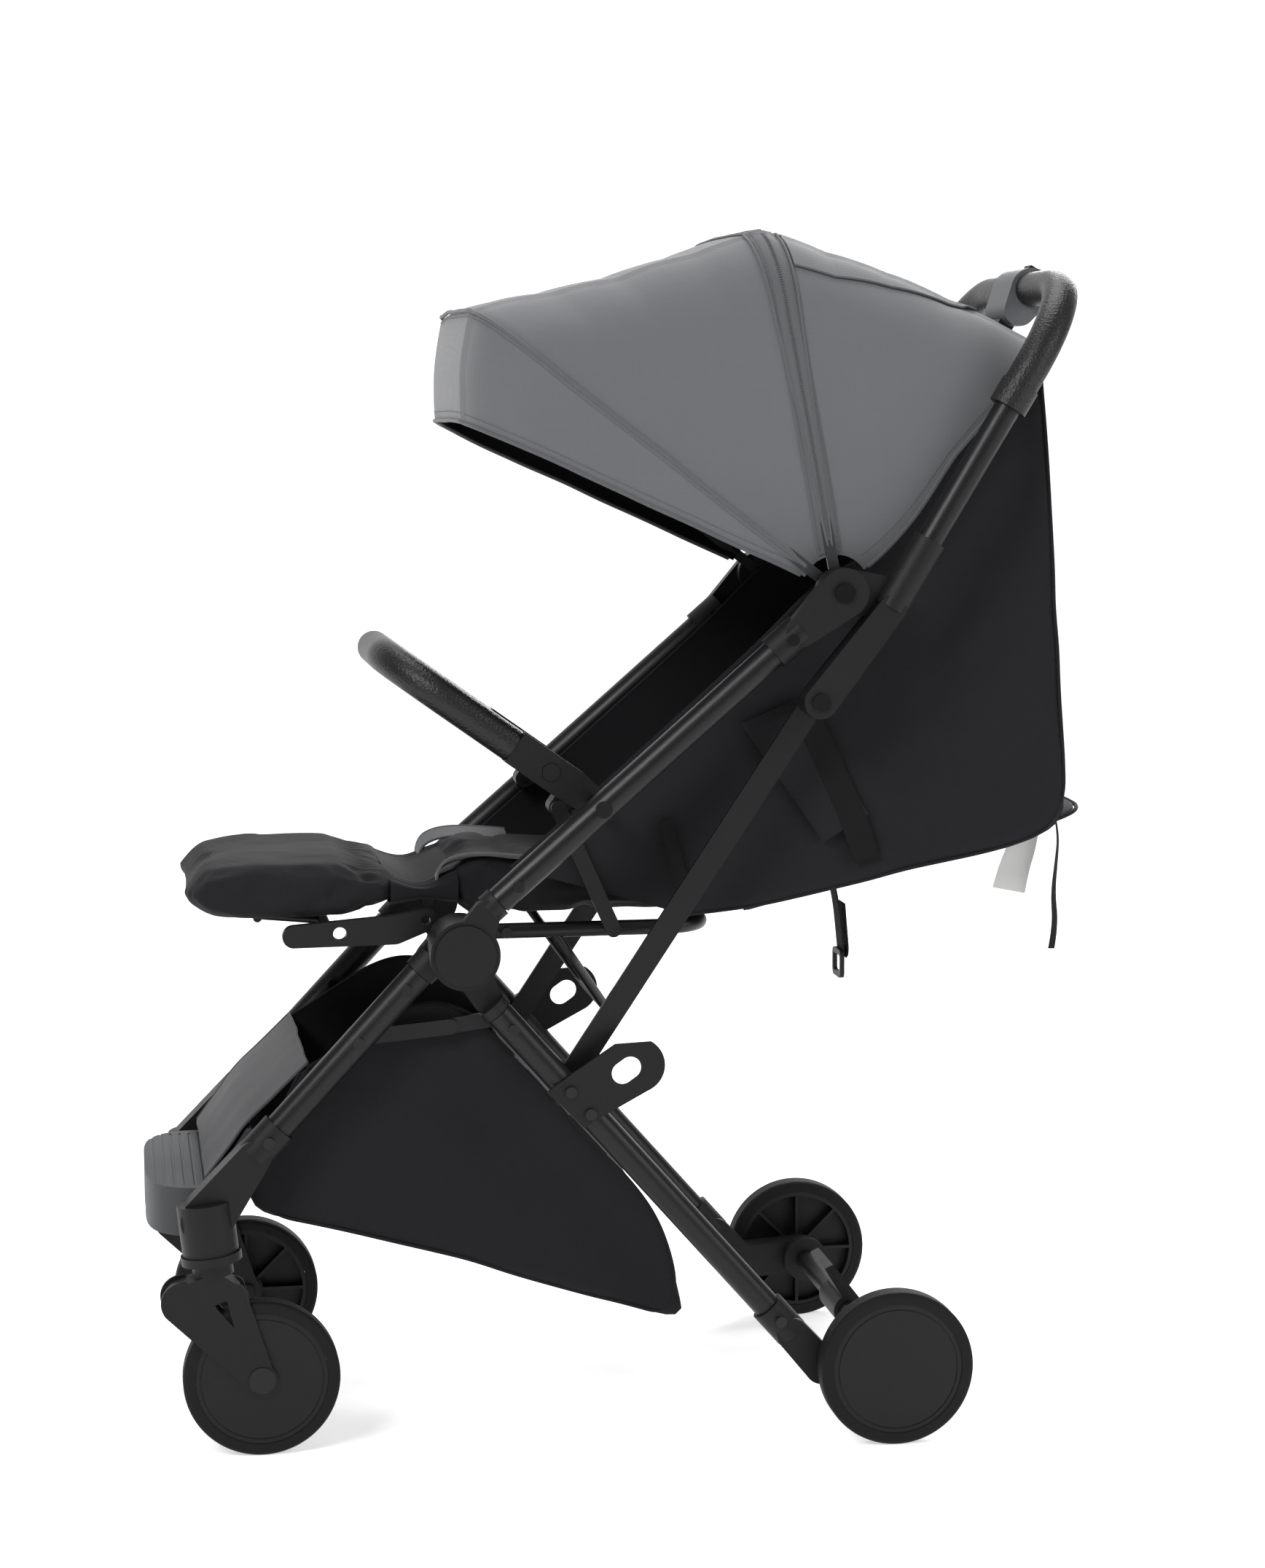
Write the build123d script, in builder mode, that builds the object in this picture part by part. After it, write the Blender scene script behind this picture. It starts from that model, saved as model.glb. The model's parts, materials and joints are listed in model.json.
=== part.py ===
from build123d import *
from math import atan2, cos, degrees, radians, sin, tan
import os

# Compact folding stroller. X runs rearwards, Y across, Z up, millimetres.
# Side-view points are (distance behind the rear axle, height above the floor).

# ---- driving dimensions -------------------------------------------------
rear_axle_x = 232.0            # rear axle from the middle of the overall length
wheel_r = 70.0
wheel_width = 24.0
rear_wheel_y = 220.0           # wheel centre planes, from the middle plane
castor_y = 155.0
tyre_depth = 11.0

leg_y = 155.0                  # centre plane of the front legs
leg_r = 13.0
arm_y = 189.5                  # centre plane of upper tubes, rear legs, handle
arm_r = 12.5
tube_wall = 1.6
fit = 0.15                     # sleeve clearance on a tube
run = 0.3                      # running clearance between moving faces

hub = (-384.0, 452.0)          # fold joint
hub_r = 31.0
hub_bolt_r = 6.0
upper_angle = 41.0             # upper tube, above horizontal
upper_offset = 15.0            # tube axis above the hub centre
upper_start = 50.0
upper_end = 380.0
handle_pivot_along = 462.0     # handle pivot, measured along the upper tube
bumper_pivot_along = 176.0
front_angle = 226.9            # front leg direction from the hub
front_offset = 12.0
front_start = 37.5
front_end = 225.0
rear_angle = -48.8             # rear leg direction from the hub
rear_offset = 12.4
rear_start = 56.0
rear_end = 427.0

handle_angle = 59.0
handle_offset = 44.8           # handle tube axis behind its pivot
handle_start = 30.0
handle_sleeve_end = 80.0
handle_grip_start = 217.0
handle_top = 344.0
handle_corner_r = 88.0
handle_grip_r = 16.0
link_pivot = (-66.0, 669.9)    # lower end of the handle casting
link_foot = (-292.9, 329.0)    # link bar rivet on the rear leg
link_y = 171.5                 # inner face of the link bars
link_thick = 4.0
link_width = 22.0

castor_axis = (-611.0, 204.0)  # middle of the steering housing
castor_tilt = 6.5              # top of the steering axis leans forward
steer_r = 25.0
steer_half = 27.0
stem_r = 18.0
fork_pivot = (-635.0, 143.0)
castor_wheel = (-565.7, 70.0)
fork_plate = 3.2
fork_gap = 0.6

bumper_angle = 144.5
bumper_length = 220.0          # pivot to the middle of the front bar
bumper_y = 122.0
bumper_grip_r = 15.5
bumper_corner_r = 68.0
bumper_link_top = (-292.3, 573.2)
seat_pivot = (-346.0, 464.0)
seat_link_foot = (-242.9, 462.0)
seat_rear = -156.0
seat_tube_r = 7.0
seat_y = 127.0

calf_hinge = (-412.0, 474.0)
calf_length = 222.0
calf_width = 236.0
calf_thick = 46.0

knee_mid = (-392.0, 378.5)
knee_pin_r = 3.0
knee_y = 137.6                 # inner face of the knee links

bow_y = 171.6                  # inner face of the front canopy bow
bow_thick = 2.0
front_bow = (142.3, 398.0)     # direction and reach from the handle pivot
mid_bow = (100.8, 318.0)
rear_bow = (52.0, 262.0)
bow_width = 10.0
bow_corner_r = 70.0

rivet_r = 3.0
rivet_head_r = 5.2
rivet_head = 2.6

sides = (("left", -1), ("right", 1))
os.makedirs("parts", exist_ok=True)


# ---- geometry helpers ---------------------------------------------------
def spot(point, y=0.0):
    """3D place of a side-view point on the plane y."""
    return Vector(rear_axle_x + point[0], y, point[1])


def polar(origin, angle, along, across=0.0):
    """Side-view point reached from origin along a direction, plus a step to its left."""
    c, s = cos(radians(angle)), sin(radians(angle))
    return (origin[0] + c * along - s * across, origin[1] + s * along + c * across)


def side_plane(y):
    """Side-view plane at y; its normal points to the left side of the stroller."""
    return Plane(origin=(rear_axle_x, y, 0), x_dir=(1, 0, 0), z_dir=(0, -1, 0))


def slab_plane(side, inner, outer):
    """Plane from which a slab between two distances from the middle is extruded."""
    return side_plane(-inner if side < 0 else outer)


def rod(start, finish, radius, mode=Mode.ADD):
    """Round bar between two points, in the current part."""
    line = finish - start
    with BuildSketch(Plane(origin=start, z_dir=line)) as section:
        Circle(radius)
    extrude(section.sketch, amount=line.length, mode=mode)


def cross_rod(point, low, high, radius, mode=Mode.ADD):
    """Round bar across the stroller, between two Y values."""
    with BuildSketch(side_plane(high)) as section:
        with Locations(point):
            Circle(radius)
    extrude(section.sketch, amount=high - low, mode=mode)


def side_rod(point, side, inner, outer, radius, mode=Mode.ADD):
    low, high = sorted((side * inner, side * outer))
    cross_rod(point, low, high, radius, mode)


def lever(points, radii, side, inner, outer, mode=Mode.ADD):
    """Flat arm: discs at the points, joined by their outer tangents."""
    with BuildSketch(slab_plane(side, inner, outer)) as outline:
        for first, second in zip(range(len(points) - 1), range(1, len(points))):
            with BuildSketch(mode=Mode.PRIVATE) as ends:
                for index in (first, second):
                    with Locations(points[index]):
                        Circle(radii[index])
            add(make_hull(ends.sketch.edges(), mode=Mode.PRIVATE))
    extrude(outline.sketch, amount=outer - inner, mode=mode)


def rivet(point, side, inner, outer):
    """Through rivet with a domed head outside and a flat tail inside."""
    side_rod(point, side, inner - 0.1, outer + 0.1, rivet_r)
    side_rod(point, side, inner - 1.3, inner - 0.1, rivet_head_r - 1)
    low, high = sorted((side * (outer + 0.1), side * (outer + 0.1 + rivet_head)))
    with BuildSketch(side_plane(high)) as head:
        with Locations(point):
            Circle(rivet_head_r)
    extrude(head.sketch, amount=high - low)


def rivet_hole(point, side, centre, radius):
    side_rod(point, side, centre - radius - 3, centre + radius + 3, rivet_r + 0.1, Mode.SUBTRACT)


def tube_bar(start, finish, radius):
    """Straight hollow tube between two points."""
    rod(start, finish, radius)
    rod(start, finish, radius - tube_wall, Mode.SUBTRACT)


def finish(part, name):
    part.part.label = name
    export_step(part.part, f"parts/{name}.step")


# ---- side-view points worked out from the dimensions ---------------------
handle_pivot = polar(hub, upper_angle, handle_pivot_along, upper_offset)
bumper_pivot = polar(hub, upper_angle, bumper_pivot_along, upper_offset)


def on_upper(along):
    return polar(hub, upper_angle, along, upper_offset)


def on_front(along):
    return polar(hub, front_angle, along, -front_offset)


def on_rear(along):
    return polar(hub, rear_angle, along, -rear_offset)


def on_handle(along):
    return polar(handle_pivot, handle_angle, along, -handle_offset)


def on_steer(up):
    return polar(castor_axis, 90 + castor_tilt, up)


front_rivets = [on_front(a) for a in (59.0, 122.0, 240.0)]
upper_rivets = [on_upper(a) for a in (75.0, 400.0)]
rear_rivets = [on_rear(a) for a in (78.0, 154.0, 181.0, 442.0)]
knee_front = front_rivets[1]
knee_rear = rear_rivets[0]

# ---- front frame: the root body -----------------------------------------
for side_name, s in sides:
    with BuildPart() as front_leg:
        tube_bar(spot(on_front(front_start + 4), s * leg_y), spot(on_front(front_end + 26), s * leg_y), leg_r)
        for point in front_rivets:
            rivet_hole(point, s, leg_y, leg_r)
    finish(front_leg, f"{side_name}_front_leg")

sleeve = leg_r + fit
with BuildPart() as front_castings:
    for side_name, s in sides:
        top, low = on_front(front_end), on_front(front_end + 34)
        rod(spot(top, s * leg_y), spot(low, s * leg_y), leg_r + 3)
        lever([low, on_steer(12)], [leg_r + 2, steer_r - 2], s, leg_y - leg_r, leg_y + leg_r)
        rod(spot(on_steer(-steer_half), s * leg_y), spot(on_steer(steer_half), s * leg_y), steer_r)
        rod(spot(on_steer(-steer_half), s * leg_y), spot(on_steer(-steer_half + 8), s * leg_y), steer_r + 2)
        rod(spot(top, s * leg_y), spot(on_front(front_end + 28), s * leg_y), sleeve, Mode.SUBTRACT)
        rod(spot(on_steer(-steer_half - 1), s * leg_y), spot(on_steer(12), s * leg_y), 8.3, Mode.SUBTRACT)
        rivet_hole(front_rivets[2], s, leg_y, leg_r + 3)
finish(front_castings, "front_castings")

hub_split = 172.0              # plane between the front hub disc and the outer ones
with BuildPart() as front_hubs:
    for side_name, s in sides:
        lever([hub, on_front(front_start - 14)], [hub_r - 4, leg_r + 1], s, leg_y - leg_r, leg_y + 4)
        side_rod(hub, s, leg_y - leg_r, hub_split - run, hub_r - 1)
        rod(spot(on_front(front_start - 16), s * leg_y), spot(on_front(front_start), s * leg_y), leg_r + 2)
        rod(spot(on_front(front_start), s * leg_y), spot(on_front(front_start + 3), s * leg_y), leg_r + 2)
        rod(spot(on_front(front_start + 3), s * leg_y), spot(on_front(front_start + 30), s * leg_y),
            leg_r - tube_wall - fit)
        rivet_hole(front_rivets[0], s, leg_y, leg_r)
        side_rod(hub, s, 100, 240, hub_bolt_r + 0.1, Mode.SUBTRACT)
finish(front_hubs, "front_hub_sockets")

inner_half = castor_y - steer_r - run
with BuildPart() as footboard:
    with BuildSketch(Plane.XY.offset(236)) as board:
        with BuildLine():
            Polyline((rear_axle_x - 598, -inner_half + 8), (rear_axle_x - 598, inner_half - 8))
            Spline((rear_axle_x - 598, inner_half - 8), (rear_axle_x - 640, inner_half - 14),
                   (rear_axle_x - 664, 0), (rear_axle_x - 640, -inner_half + 14),
                   (rear_axle_x - 598, -inner_half + 8))
        make_face()
    extrude(amount=-44)
    lever([(-604, 230), (-572, 286)], [8, 4], 1, -inner_half, inner_half)
    with BuildSketch(Plane.XY.offset(192)) as hollow:
        with Locations((rear_axle_x - 616, 0)):
            Rectangle(46, 2 * inner_half - 40)
    extrude(amount=30, mode=Mode.SUBTRACT)
    for step in range(6):
        with BuildSketch(side_plane(110)):
            with Locations((-656 + step * 9, 237)):
                Circle(1.8)
        extrude(amount=220, mode=Mode.SUBTRACT)
finish(footboard, "footboard")

with BuildPart() as front_fasteners:
    for side_name, s in sides:
        for index, point in enumerate(front_rivets):
            radius = leg_r if index < 2 else leg_r + 3
            rivet(point, s, leg_y - radius, leg_y + radius)
finish(front_fasteners, "front_rivets")

# ---- castors --------------------------------------------------------------
wheel_half = wheel_width / 2
fork_in = castor_y - wheel_half - fork_gap - fork_plate
fork_out = castor_y + wheel_half + fork_gap
for side_name, s in sides:
    stem_low = on_steer(-steer_half - run)
    with BuildPart() as fork:
        rod(spot(on_steer(-steer_half - 12), s * castor_y), spot(stem_low, s * castor_y), stem_r)
        rod(spot(on_steer(-steer_half - 2), s * castor_y), spot(on_steer(6), s * castor_y), 8)
        crown = on_steer(-steer_half - 22)
        lever([crown, fork_pivot], [13, 16], s, fork_in, fork_out + fork_plate)
        lever([crown, (-590, 152)], [13, 7], s, fork_in, fork_out + fork_plate)
        for inner in (fork_in, fork_out):
            lever([fork_pivot, castor_wheel], [19, 14], s, inner, inner + fork_plate)
            lever([(-588, 150), castor_wheel], [9, 12], s, inner, inner + fork_plate)
        side_rod(castor_wheel, s, fork_in + fork_plate, fork_out, wheel_r + 3, Mode.SUBTRACT)
        side_rod(castor_wheel, s, fork_in - 1, fork_out + fork_plate + 1, 4.2, Mode.SUBTRACT)
    finish(fork, f"{side_name}_castor_fork")
    with BuildPart() as bolt:
        side_rod(castor_wheel, s, fork_in - 2, fork_out + fork_plate + 0.1, 4.1)
        side_rod(castor_wheel, s, fork_in - 4, fork_in - 0.1, 7)
        side_rod(castor_wheel, s, fork_out + fork_plate + 0.1, fork_out + fork_plate + 1.2, 12)
    finish(bolt, f"{side_name}_castor_bolt")

# ---- wheels ---------------------------------------------------------------
rim_r = wheel_r - tyre_depth
wheels = [(f"{n}_{end}", s * y, s, centre) for n, s in sides
          for end, y, centre in (("front", castor_y, castor_wheel), ("rear", rear_wheel_y, (0.0, wheel_r)))]
for name, y, s, centre in wheels:
    with BuildPart() as tyre:
        cross_rod(centre, y - wheel_half, y + wheel_half, wheel_r)
        fillet(edges().filter_by(GeomType.CIRCLE), 4.5)
        cross_rod(centre, y - wheel_half, y + wheel_half, rim_r + fit, Mode.SUBTRACT)
    finish(tyre, f"{name}_tyre")
    with BuildPart() as rim:
        cross_rod(centre, y - wheel_half + 1, y + wheel_half - 1, rim_r)
        inner_face = y - s * (wheel_half - 1)
        low, high = sorted((inner_face, inner_face + s * 12))
        with BuildSketch(side_plane(high)):
            with Locations(centre):
                Circle(rim_r - 4)
                Circle(16, mode=Mode.SUBTRACT)
                with PolarLocations(rim_r / 2, 8):
                    Rectangle(rim_r, 3, mode=Mode.SUBTRACT)
        extrude(amount=high - low, mode=Mode.SUBTRACT)
        outer_face = y + s * (wheel_half - 1)
        low, high = sorted((outer_face, outer_face - s * 0.8))
        with BuildSketch(side_plane(high)):
            with Locations(centre):
                Circle(rim_r - 4)
                Circle(rim_r - 5.2, mode=Mode.SUBTRACT)
        extrude(amount=high - low, mode=Mode.SUBTRACT)
        bore = 4.2 if "front" in name else 6.1
        depth = wheel_half + 1 if "front" in name else 9
        side_rod(centre, s, abs(y) - wheel_half - 1, abs(y) + depth, bore, Mode.SUBTRACT)
    finish(rim, f"{name}_wheel")

# ---- rear frame -----------------------------------------------------------
for side_name, s in sides:
    with BuildPart() as rear_leg:
        tube_bar(spot(on_rear(rear_start + 4), s * arm_y), spot(on_rear(rear_end + 30), s * arm_y), arm_r)
        for point in rear_rivets:
            rivet_hole(point, s, arm_y, arm_r)
    finish(rear_leg, f"{side_name}_rear_leg")

outer_inner = 176.2            # clear of the link bars' layer
disc_split = 189.5             # rear disc inside, upper disc outside
axle = (0.0, wheel_r)
with BuildPart() as rear_hubs:
    for side_name, s in sides:
        side_rod(hub, s, hub_split, disc_split - run, hub_r - 1)
        lever([hub, on_rear(rear_start - 12)], [20, arm_r], s, outer_inner, disc_split - run)
        rod(spot(on_rear(rear_start - 6), s * arm_y), spot(on_rear(rear_start + 3), s * arm_y), arm_r + 1.5)
        rod(spot(on_rear(rear_start + 3), s * arm_y), spot(on_rear(rear_start + 30), s * arm_y),
            arm_r - tube_wall - fit)
        rivet_hole(rear_rivets[0], s, arm_y, arm_r)
        side_rod(hub, s, disc_split - run, 230, hub_r + run + 1, Mode.SUBTRACT)
        side_rod(hub, s, 100, 240, hub_bolt_r + 0.1, Mode.SUBTRACT)
finish(rear_hubs, "rear_hub_sockets")

with BuildPart() as rear_castings:
    for side_name, s in sides:
        rod(spot(on_rear(rear_end), s * arm_y), spot(on_rear(rear_end + 34), s * arm_y), arm_r + 3)
        lever([on_rear(rear_end + 32), on_rear(rear_end + 74), axle], [arm_r + 2, 16, 17],
              s, arm_y - arm_r, arm_y + arm_r)
        rod(spot(on_rear(rear_end), s * arm_y), spot(on_rear(rear_end + 31), s * arm_y), arm_r + fit, Mode.SUBTRACT)
        side_rod(axle, s, arm_y - arm_r - 14, arm_y - arm_r, 22)
        side_rod(axle, s, arm_y - arm_r - 15, 230, 6.1, Mode.SUBTRACT)
        rivet_hole(rear_rivets[3], s, arm_y, arm_r + 3)
finish(rear_castings, "rear_castings")

axle_tube_end = arm_y - arm_r - 14 - fit
with BuildPart() as rear_axle:
    cross_rod(axle, -axle_tube_end, axle_tube_end, 10)
    cross_rod(axle, -rear_wheel_y - 8, rear_wheel_y + 8, 6)
finish(rear_axle, "rear_axle")

lock_face = arm_y + arm_r + 0.2
with BuildPart() as lock_plates:
    for side_name, s in sides:
        with BuildSketch(slab_plane(s, lock_face, lock_face + 2.5)):
            with BuildLine():
                Polyline((-313, 329), (-296, 312), (-280, 295), (-268, 303), polar((-232, 350), -67, 24.6))
                CenterArc((-232, 350), 24.6, -67, 127)
                Polyline(polar((-232, 350), 60, 24.6), (-252, 370), (-290, 345), (-313, 329))
            make_face()
            with Locations(Location((-242, 346), 35)):
                SlotOverall(28, 20, mode=Mode.SUBTRACT)
            for point in rear_rivets[1:3]:
                with Locations(point):
                    Circle(rivet_r + 0.1, mode=Mode.SUBTRACT)
        extrude(amount=2.5)
finish(lock_plates, "lock_plates")

with BuildPart() as rear_fasteners:
    for side_name, s in sides:
        for point, radius, cover in zip(rear_rivets, (arm_r, arm_r, arm_r, arm_r + 3), (0, 2.8, 2.8, 0)):
            rivet(point, s, arm_y - radius, arm_y + radius + cover)
finish(rear_fasteners, "rear_rivets")

with BuildPart() as pedal:
    with BuildSketch(side_plane(33)):
        with Locations(axle):
            Circle(15)
        with BuildLine():
            Polyline((-6, 82), (-24, 112), (-16, 116), (12, 80), (-6, 82))
        make_face()
        with Locations(axle):
            Circle(10.2, mode=Mode.SUBTRACT)
    extrude(amount=66)
finish(pedal, "brake_pedal")

# ---- upper frame ------------------------------------------------------------
for side_name, s in sides:
    with BuildPart() as upper_tube:
        tube_bar(spot(on_upper(upper_start + 4), s * arm_y), spot(on_upper(upper_end + 26), s * arm_y), arm_r)
        for point in upper_rivets:
            rivet_hole(point, s, arm_y, arm_r)
        side_rod(bumper_pivot, s, 150, 220, 5.1, Mode.SUBTRACT)
    finish(upper_tube, f"{side_name}_upper_tube")

with BuildPart() as upper_hubs:
    for side_name, s in sides:
        side_rod(hub, s, disc_split, arm_y + arm_r, hub_r)
        lever([hub, on_upper(upper_start - 12)], [20, arm_r], s, disc_split, arm_y + arm_r)
        rod(spot(on_upper(upper_start - 8), s * arm_y), spot(on_upper(upper_start + 3), s * arm_y), arm_r + 1.5)
        rod(spot(on_upper(upper_start + 3), s * arm_y), spot(on_upper(upper_start + 30), s * arm_y),
            arm_r - tube_wall - fit)
        rivet_hole(upper_rivets[0], s, arm_y, arm_r)
        side_rod(hub, s, 170, disc_split, hub_r + run, Mode.SUBTRACT)
        side_rod(hub, s, 100, 202, hub_bolt_r + 0.1, Mode.SUBTRACT)
finish(upper_hubs, "upper_hub_sockets")

with BuildPart() as hub_caps:
    for side_name, s in sides:
        face = arm_y + arm_r + fit
        side_rod(hub, s, face, face + 2.4, hub_r - 4)
finish(hub_caps, "hub_caps")

pivot_split = 189.5            # handle ear inside, upper socket outside
with BuildPart() as handle_sockets:
    for side_name, s in sides:
        rod(spot(on_upper(upper_end), s * arm_y), spot(on_upper(upper_end + 32), s * arm_y), arm_r + 3)
        lever([on_upper(upper_end + 30), handle_pivot], [arm_r + 1, 22], s, pivot_split, arm_y + arm_r + 1)
        rod(spot(on_upper(upper_end), s * arm_y), spot(on_upper(upper_end + 28), s * arm_y), arm_r + fit,
            Mode.SUBTRACT)
        side_rod(handle_pivot, s, 160, 230, 6.1, Mode.SUBTRACT)
        side_rod(handle_pivot, s, 160, pivot_split, 24, Mode.SUBTRACT)
        rivet_hole(upper_rivets[1], s, arm_y, arm_r + 3)
finish(handle_sockets, "handle_sockets")

with BuildPart() as upper_fasteners:
    for side_name, s in sides:
        rivet(upper_rivets[0], s, arm_y - arm_r, arm_y + arm_r)
        rivet(upper_rivets[1], s, arm_y - arm_r - 3, arm_y + arm_r + 3)
        side_rod(hub, s, leg_y - leg_r - 2, arm_y + arm_r, hub_bolt_r)
        side_rod(handle_pivot, s, bow_y - 2, arm_y + arm_r + 3, 6)
        side_rod(handle_pivot, s, arm_y + arm_r + 1.2, arm_y + arm_r + 4, 9)
        side_rod(bumper_pivot, s, bumper_y + 2, arm_y + arm_r + 1, 5)
        side_rod(bumper_pivot, s, arm_y + arm_r + 0.2, arm_y + arm_r + 2.6, 7.5)
finish(upper_fasteners, "upper_rivets")

# ---- handle -----------------------------------------------------------------
def planar_loop(origin, angle, offset, start, reach, half, corner):
    """Wire of a flat U across the stroller, arms along a side-view direction."""
    base = polar(origin, angle, 0, offset)
    axis = Vector(cos(radians(angle)), 0, sin(radians(angle)))
    plane = Plane(origin=spot(base), x_dir=(0, 1, 0), z_dir=Vector(0, 1, 0).cross(axis))
    with BuildLine(plane) as path:
        FilletPolyline((-half, start), (-half, reach), (half, reach), (half, start), radius=corner)
    return path


def loop_bar(path, radius, wall=0.0):
    """Round bar swept along a flat U, in the current part."""
    start = path.line @ 0
    with BuildSketch(Plane(origin=start, z_dir=path.line % 0)) as section:
        Circle(radius)
        if wall:
            Circle(radius - wall, mode=Mode.SUBTRACT)
    sweep(section.sketch, path=path.line)


tube_path = planar_loop(handle_pivot, handle_angle, -handle_offset, handle_start, handle_top, arm_y,
                        handle_corner_r)
grip_path = planar_loop(handle_pivot, handle_angle, -handle_offset, handle_grip_start, handle_top, arm_y,
                        handle_corner_r)
with BuildPart() as handle_tube:
    loop_bar(tube_path, arm_r - 0.5, tube_wall)
finish(handle_tube, "handle_tube")

release_half = 34.0
with BuildPart() as handle_grip:
    with BuildSketch(Plane(origin=grip_path.line @ 0, z_dir=grip_path.line % 0)):
        Circle(handle_grip_r)
        Circle(arm_r - 0.5 + fit, mode=Mode.SUBTRACT)
    sweep(path=grip_path.line)
    for side_name, s in sides:
        rod(spot(on_handle(handle_grip_start - 1), s * arm_y), spot(on_handle(handle_grip_start + 22), s * arm_y),
            handle_grip_r + 1.5)
        rod(spot(on_handle(handle_grip_start - 2), s * arm_y), spot(on_handle(handle_grip_start + 23), s * arm_y),
            arm_r - 0.5 + fit, Mode.SUBTRACT)
    with BuildSketch(side_plane(release_half + fit)):
        with Locations(on_handle(handle_top)):
            Circle(60)
    extrude(amount=2 * (release_half + fit), mode=Mode.SUBTRACT)
finish(handle_grip, "handle_grip")

release_low = on_handle(handle_top - 22)
with BuildPart() as release_housing:
    lever([on_handle(handle_top), release_low], [20, 15], 1, -release_half, release_half)
    cross_rod(on_handle(handle_top), -release_half, release_half, arm_r - 0.5 + fit, Mode.SUBTRACT)
    with BuildSketch(side_plane(15)):
        with Locations(Location(on_handle(handle_top - 34), handle_angle)):
            Rectangle(22, 16)
    extrude(amount=30, mode=Mode.SUBTRACT)
    with BuildSketch(side_plane(10)):
        with Locations(Location(on_handle(handle_top + 19), handle_angle)):
            Rectangle(8, 16)
    extrude(amount=20, mode=Mode.SUBTRACT)
finish(release_housing, "release_housing")

with BuildPart() as trigger:
    with BuildSketch(side_plane(14.5)):
        with Locations(Location(on_handle(handle_top - 40), handle_angle)):
            Rectangle(20, 15)
    extrude(amount=29)
    fillet(edges().filter_by(Axis.Y), 3)
finish(trigger, "release_trigger")

with BuildPart() as button:
    with BuildSketch(side_plane(9.5)):
        with Locations(Location(on_handle(handle_top + 20.5), handle_angle)):
            Rectangle(6, 15)
    extrude(amount=19)
    fillet(edges().filter_by(Axis.Y), 1)
finish(button, "safety_button")

with BuildPart() as handle_castings:
    for side_name, s in sides:
        low, high = on_handle(handle_start - 20), on_handle(handle_sleeve_end)
        rod(spot(low, s * arm_y), spot(high, s * arm_y), arm_r + 2.5)
        lever([link_pivot, low], [15, arm_r], s, outer_inner, arm_y + arm_r)
        lever([handle_pivot, on_handle(22)], [22, 16], s, outer_inner, pivot_split - run)
        rod(spot(on_handle(handle_start - 1), s * arm_y), spot(high, s * arm_y), arm_r - 0.5 + fit, Mode.SUBTRACT)
        side_rod(handle_pivot, s, 160, pivot_split, 6.3, Mode.SUBTRACT)
        side_rod(handle_pivot, s, pivot_split - run, 230, 23, Mode.SUBTRACT)
        side_rod(link_pivot, s, 160, 230, 4.6, Mode.SUBTRACT)
finish(handle_castings, "handle_castings")

with BuildPart() as handle_fasteners:
    for side_name, s in sides:
        side_rod(link_pivot, s, link_y - 1.5, arm_y + arm_r + 0.1, 4.5)
        side_rod(link_pivot, s, arm_y + arm_r + 0.1, arm_y + arm_r + 2.6, 8)
finish(handle_fasteners, "handle_bolts")

# ---- link bars between handle and rear legs -----------------------------------
with BuildPart() as links:
    for side_name, s in sides:
        lever([link_pivot, link_foot], [link_width / 2, link_width / 2], s, link_y, link_y + link_thick)
        side_rod(link_pivot, s, link_y - 1, link_y + 5, 4.7, Mode.SUBTRACT)
        side_rod(link_foot, s, link_y - 1, link_y + 5, 4.7, Mode.SUBTRACT)
finish(links, "link_bars")

# ---- seat ---------------------------------------------------------------------
ring_reach = seat_rear - seat_pivot[0]
ring_path = planar_loop(seat_pivot, 0, -2, -14, ring_reach, seat_y, 40)
with BuildPart() as seat_ring:
    loop_bar(ring_path, seat_tube_r)
    cross_rod((seat_pivot[0] - 8, seat_pivot[1] - 2), -seat_y, seat_y, 5)
    loop = Plane(origin=spot((-298, 462)), x_dir=(0, 1, 0), z_dir=Vector(0, 1, 0).cross(Vector(0.57, 0, -0.82)))
    with BuildLine(loop) as loop_path:
        FilletPolyline((-seat_y, 0), (-seat_y, 30), (-70, 100), (70, 100), (seat_y, 30), (seat_y, 0), radius=24)
    with BuildSketch(Plane(origin=loop_path.line @ 0, z_dir=loop_path.line % 0)):
        Circle(4.5)
    sweep(path=loop_path.line)
    for side_name, s in sides:
        side_rod((seat_pivot[0] + 6, seat_pivot[1] - 2), s, seat_y, leg_y - leg_r - 1, 5)
finish(seat_ring, "seat_ring")

pad_half = 112.0
with BuildPart() as seat_pad:
    with BuildSketch(side_plane(pad_half)):
        with BuildLine():
            Polyline((-398, 493), (-398, 525), (-345, 527), (-190, 512), (-158, 500), (-158, 474), (-398, 474),
                     (-398, 493))
        make_face()
    extrude(amount=2 * pad_half)
    fillet(edges().filter_by(Axis.Y), 8)
finish(seat_pad, "seat_pad")

with BuildPart() as calf_pad:
    with BuildSketch(Plane.XY.offset(calf_hinge[1] + 6)):
        with Locations((rear_axle_x - 522, 0)):
            RectangleRounded(calf_length, calf_width, 40)
    extrude(amount=calf_thick)
    fillet(edges().group_by(Axis.Z)[0] + edges().group_by(Axis.Z)[-1], 14)
finish(calf_pad, "calf_pad")

with BuildPart() as calf_brackets:
    for side_name, s in sides:
        lever([calf_hinge, (-440, 466), (-530, 462)], [10, 13, 10], s, 122, 132)
        side_rod((-489, 464), s, 100, 150, 6, Mode.SUBTRACT)
        side_rod(calf_hinge, s, 100, 150, 4.2, Mode.SUBTRACT)
    cross_rod((-500, 468), -125, 125, 5)
    cross_rod((-560, 474), -90, 90, 4)
    for x in (-70, 70):
        rod(spot((-500, 468), x), spot((-560, 474), x), 4)
finish(calf_brackets, "calf_frame")

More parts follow.
